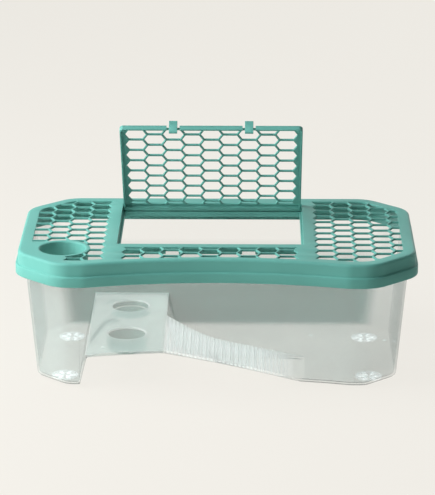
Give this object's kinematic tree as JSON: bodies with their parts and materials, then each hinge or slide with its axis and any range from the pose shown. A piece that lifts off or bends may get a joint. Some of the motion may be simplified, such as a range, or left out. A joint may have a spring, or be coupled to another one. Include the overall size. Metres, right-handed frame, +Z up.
{
  "type": "plastic pet keeper",
  "caption": "Clear plastic pet tank with basking deck and ramp, vented lift-off lid with a round feeding port, and a hinged mesh door with two latches.",
  "frame": {"origin": "on the surface that the feet stand on, under the middle of the lid's footprint", "axes": "+Z up, -Y towards the front with the curved edge, +X to the right along the width"},
  "size_m": [0.4, 0.241, 0.2441],
  "materials": {
    "clear_plastic": "clear, smooth, injection moulded",
    "green_plastic": "fine satin, injection moulded"
  },
  "bodies": {
    "tank": {"tank": "clear_plastic", "basking_deck": "clear_plastic", "ramp": "clear_plastic", "foot_front_left": "clear_plastic", "foot_front_right": "clear_plastic", "foot_back_left": "clear_plastic", "foot_back_right": "clear_plastic"},
    "lid": {"lid_frame": "green_plastic", "vent_left": "green_plastic", "vent_port": "green_plastic", "vent_right": "green_plastic", "vent_front": "green_plastic", "port_collar": "green_plastic", "door_seat": "green_plastic"},
    "door": {"door_frame": "green_plastic", "door_mesh": "green_plastic", "pin_left": "green_plastic", "pin_right": "green_plastic", "latch_web_left": "green_plastic", "latch_web_right": "green_plastic"},
    "latch_left": {"latch_left": "green_plastic"},
    "latch_right": {"latch_right": "green_plastic"}
  },
  "joints": [
    {"name": "lid_lift", "type": "slide", "parent": "tank", "child": "lid", "axis": [0, 0, 1], "range_m": [0, 0.06]},
    {"name": "door_hinge", "type": "hinge", "parent": "lid", "child": "door", "pos_m": [-0.0065, 0.0905, 0.12942], "axis": [-1, 0, 0], "range_deg": [-52, 48]},
    {"name": "latch_left_flex", "type": "hinge", "parent": "door", "child": "latch_left", "pos_m": [-0.04474, 0.00891, 0.23836], "axis": [-1, 0, 0], "range_deg": [-8, 8], "stiffness_Nm_per_rad": 0.05},
    {"name": "latch_right_flex", "type": "hinge", "parent": "door", "child": "latch_right", "pos_m": [0.03174, 0.00891, 0.23836], "axis": [-1, 0, 0], "range_deg": [-8, 8], "stiffness_Nm_per_rad": 0.05}
  ]
}
